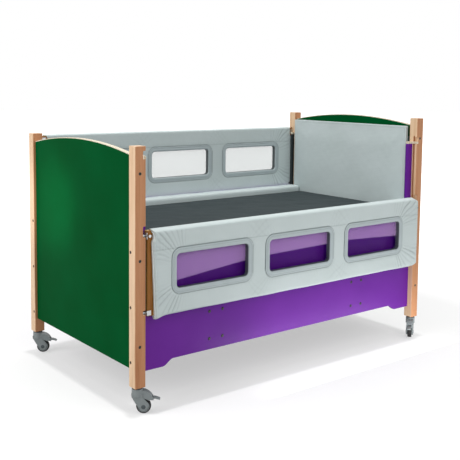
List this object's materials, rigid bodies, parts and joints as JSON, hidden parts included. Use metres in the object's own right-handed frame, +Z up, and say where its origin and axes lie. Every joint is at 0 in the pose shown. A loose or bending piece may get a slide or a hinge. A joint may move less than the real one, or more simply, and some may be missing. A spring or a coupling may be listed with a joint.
{
  "type": "special needs safety bed",
  "caption": "High-sided safety bed on braked casters, with arched end panels and padded drop sides that have clear windows.",
  "frame": {"origin": "on the floor, under the middle of the bed", "axes": "+X from the foot end to the taller head end, +Y from the front long side to the back one, +Z up"},
  "size_m": [2.1832, 1.3018, 1.4438],
  "materials": {
    "beech": "satin clear lacquer on beech",
    "birch_edge": "satin edge strip",
    "green_board": "satin laminate",
    "purple_board": "satin laminate",
    "grey_vinyl": "coated wipe-clean fabric over foam",
    "dark_vinyl": "matte coated fabric over foam",
    "dark_board": "matte",
    "grey_moulding": "soft satin moulding",
    "clear_sheet": "clear flexible sheet",
    "bright_steel": "satin",
    "grey_steel": "satin powder coat",
    "black_steel": "satin black",
    "black_trim": "matte",
    "grey_plastic": "satin moulding",
    "tyre_black": "matte"
  },
  "bodies": {
    "frame": {"foot_post_front": "beech", "foot_post_back": "beech", "head_post_front": "beech", "head_post_back": "beech", "foot_panel": "green_board", "head_panel": "green_board", "arch_strips": "birch_edge", "front_side_panel": "purple_board", "back_side_panel": "purple_board", "guide_battens": "purple_board", "rest_blocks": "bright_steel", "frame_bolts": "black_steel", "plate_bolts": "black_steel", "cross_beams": "grey_steel", "support_posts": "grey_steel", "bearers": "grey_steel", "slats": "beech", "foot_pad_board": "dark_board", "head_pad_board": "dark_board", "foot_pad": "grey_vinyl", "head_pad": "grey_vinyl", "front_liner": "grey_vinyl", "back_liner": "grey_vinyl", "mattress": "dark_vinyl", "caster_sockets": "black_trim"},
    "front_drop_side": {"front_stiles": "beech", "front_rails": "beech", "front_cover": "grey_vinyl", "front_window_frames": "grey_moulding", "front_windows": "clear_sheet", "front_end_brackets": "bright_steel", "front_end_seals": "black_trim"},
    "front_latch_foot_bolt": {"front_latch_foot": "bright_steel"},
    "front_latch_head_bolt": {"front_latch_head": "bright_steel"},
    "back_drop_side": {"back_stiles": "beech", "back_rails": "beech", "back_cover": "grey_vinyl", "back_window_frames": "grey_moulding", "back_windows": "clear_sheet", "back_end_brackets": "bright_steel", "back_end_seals": "black_trim"},
    "back_latch_foot_bolt": {"back_latch_foot": "bright_steel"},
    "back_latch_head_bolt": {"back_latch_head": "bright_steel"},
    "caster_foot_front": {"fork_foot_front": "grey_plastic"},
    "wheel_foot_front": {"hub_foot_front": "grey_plastic", "tyre_foot_front": "tyre_black"},
    "brake_foot_front": {"pedal_foot_front": "grey_plastic"},
    "caster_foot_back": {"fork_foot_back": "grey_plastic"},
    "wheel_foot_back": {"hub_foot_back": "grey_plastic", "tyre_foot_back": "tyre_black"},
    "brake_foot_back": {"pedal_foot_back": "grey_plastic"},
    "caster_head_front": {"fork_head_front": "grey_plastic"},
    "wheel_head_front": {"hub_head_front": "grey_plastic", "tyre_head_front": "tyre_black"},
    "brake_head_front": {"pedal_head_front": "grey_plastic"},
    "caster_head_back": {"fork_head_back": "grey_plastic"},
    "wheel_head_back": {"hub_head_back": "grey_plastic", "tyre_head_back": "tyre_black"},
    "brake_head_back": {"pedal_head_back": "grey_plastic"}
  },
  "joints": [
    {"name": "front_side_slide", "type": "slide", "parent": "frame", "child": "front_drop_side", "axis": [0, 0, 1], "range_m": [0, 0.4]},
    {"name": "front_latch_foot_slide", "type": "slide", "parent": "front_drop_side", "child": "front_latch_foot_bolt", "axis": [1, 0, 0], "range_m": [0, 0.013], "stiffness_N_per_m": 400, "springref_m": -0.01},
    {"name": "front_latch_head_slide", "type": "slide", "parent": "front_drop_side", "child": "front_latch_head_bolt", "axis": [-1, 0, 0], "range_m": [0, 0.013], "stiffness_N_per_m": 400, "springref_m": -0.01},
    {"name": "back_side_slide", "type": "slide", "parent": "frame", "child": "back_drop_side", "axis": [0, 0, 1], "range_m": [-0.4, 0]},
    {"name": "back_latch_foot_slide", "type": "slide", "parent": "back_drop_side", "child": "back_latch_foot_bolt", "axis": [1, 0, 0], "range_m": [0, 0.013], "stiffness_N_per_m": 400, "springref_m": -0.01},
    {"name": "back_latch_head_slide", "type": "slide", "parent": "back_drop_side", "child": "back_latch_head_bolt", "axis": [-1, 0, 0], "range_m": [0, 0.013], "stiffness_N_per_m": 400, "springref_m": -0.01},
    {"name": "caster_foot_front_swivel", "type": "hinge", "parent": "frame", "child": "caster_foot_front", "pos_m": [-1.055, -0.575, 0.135], "axis": [0, 0, 1], "continuous": true},
    {"name": "wheel_foot_front_roll", "type": "hinge", "parent": "caster_foot_front", "child": "wheel_foot_front", "pos_m": [-1.02911, -0.59381, 0.0375], "axis": [0.5878, 0.809, 0], "continuous": true},
    {"name": "brake_foot_front_press", "type": "hinge", "parent": "caster_foot_front", "child": "brake_foot_front", "pos_m": [-0.99999, -0.61497, 0.0795], "axis": [-0.5878, -0.809, 0], "range_deg": [0, 18]},
    {"name": "caster_foot_back_swivel", "type": "hinge", "parent": "frame", "child": "caster_foot_back", "pos_m": [-1.055, 0.575, 0.135], "axis": [0, 0, 1], "continuous": true},
    {"name": "wheel_foot_back_roll", "type": "hinge", "parent": "caster_foot_back", "child": "wheel_foot_back", "pos_m": [-1.02911, 0.55619, 0.0375], "axis": [0.5878, 0.809, 0], "continuous": true},
    {"name": "brake_foot_back_press", "type": "hinge", "parent": "caster_foot_back", "child": "brake_foot_back", "pos_m": [-0.99999, 0.53503, 0.0795], "axis": [-0.5878, -0.809, 0], "range_deg": [0, 18]},
    {"name": "caster_head_front_swivel", "type": "hinge", "parent": "frame", "child": "caster_head_front", "pos_m": [1.055, -0.575, 0.135], "axis": [0, 0, 1], "continuous": true},
    {"name": "wheel_head_front_roll", "type": "hinge", "parent": "caster_head_front", "child": "wheel_head_front", "pos_m": [1.02911, -0.59381, 0.0375], "axis": [0.5878, -0.809, 0], "continuous": true},
    {"name": "brake_head_front_press", "type": "hinge", "parent": "caster_head_front", "child": "brake_head_front", "pos_m": [0.99999, -0.61497, 0.0795], "axis": [-0.5878, 0.809, 0], "range_deg": [0, 18]},
    {"name": "caster_head_back_swivel", "type": "hinge", "parent": "frame", "child": "caster_head_back", "pos_m": [1.055, 0.575, 0.135], "axis": [0, 0, 1], "continuous": true},
    {"name": "wheel_head_back_roll", "type": "hinge", "parent": "caster_head_back", "child": "wheel_head_back", "pos_m": [1.02911, 0.59381, 0.0375], "axis": [-0.5878, -0.809, 0], "continuous": true},
    {"name": "brake_head_back_press", "type": "hinge", "parent": "caster_head_back", "child": "brake_head_back", "pos_m": [0.99999, 0.61497, 0.0795], "axis": [0.5878, 0.809, 0], "range_deg": [0, 18]}
  ]
}
